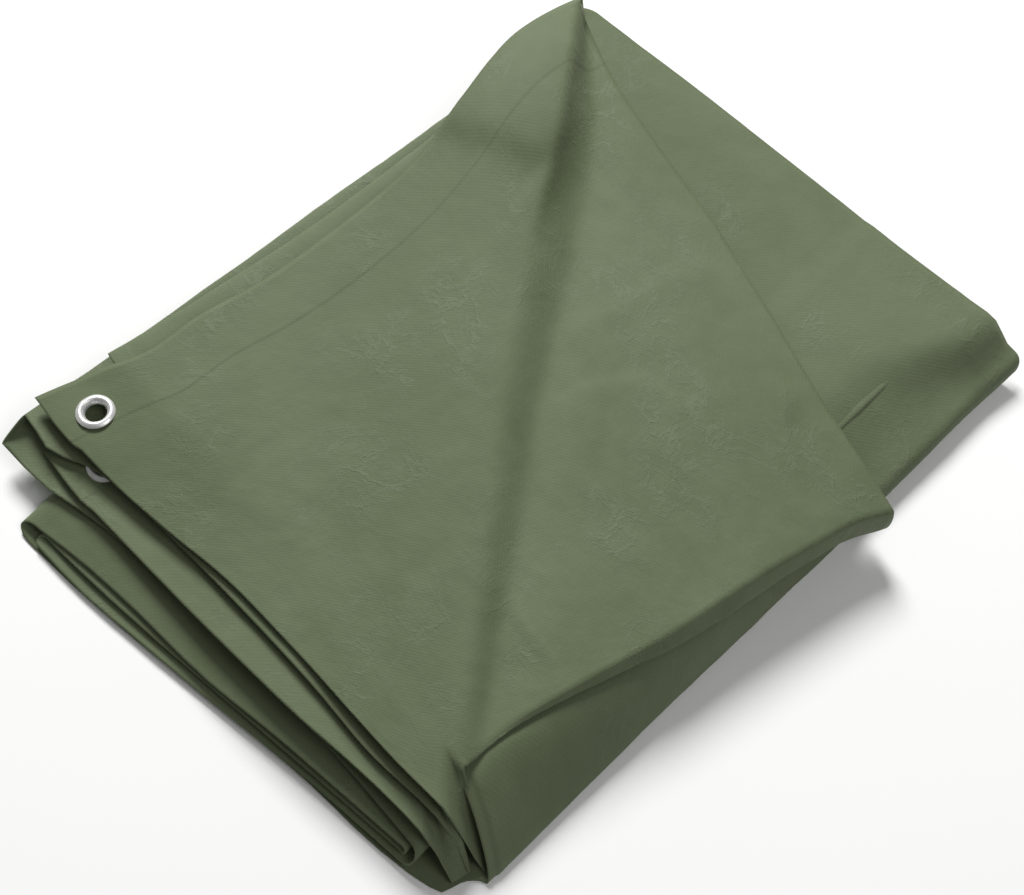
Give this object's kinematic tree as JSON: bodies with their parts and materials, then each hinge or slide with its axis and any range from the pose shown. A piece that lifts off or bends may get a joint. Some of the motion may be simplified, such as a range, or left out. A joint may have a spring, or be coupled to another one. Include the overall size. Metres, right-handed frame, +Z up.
{
  "type": "folded tarp",
  "caption": "Folded poly tarp: one coated woven sheet folded back and forth into a flat bundle, with hemmed corners and pressed eyelets.",
  "frame": {"origin": "middle of the bundle's footprint, on the surface that it lies on", "axes": "+Z up; +Y from the open hems with the eyelets to the far side; +X from the eyelet side to the side of the other folds"},
  "size_m": [0.377, 0.486, 0.0597],
  "materials": {
    "cloth": "olive green coated weave, satin",
    "hem": "olive green coated weave, welded double hem",
    "eyelet": "pressed, bright"
  },
  "bodies": {
    "root": {"tarp_sheet": "cloth", "hem_corner_upper": "hem", "hem_corner_lower": "hem", "eyelet_upper": "eyelet", "eyelet_lower": "eyelet"}
  },
  "joints": []
}
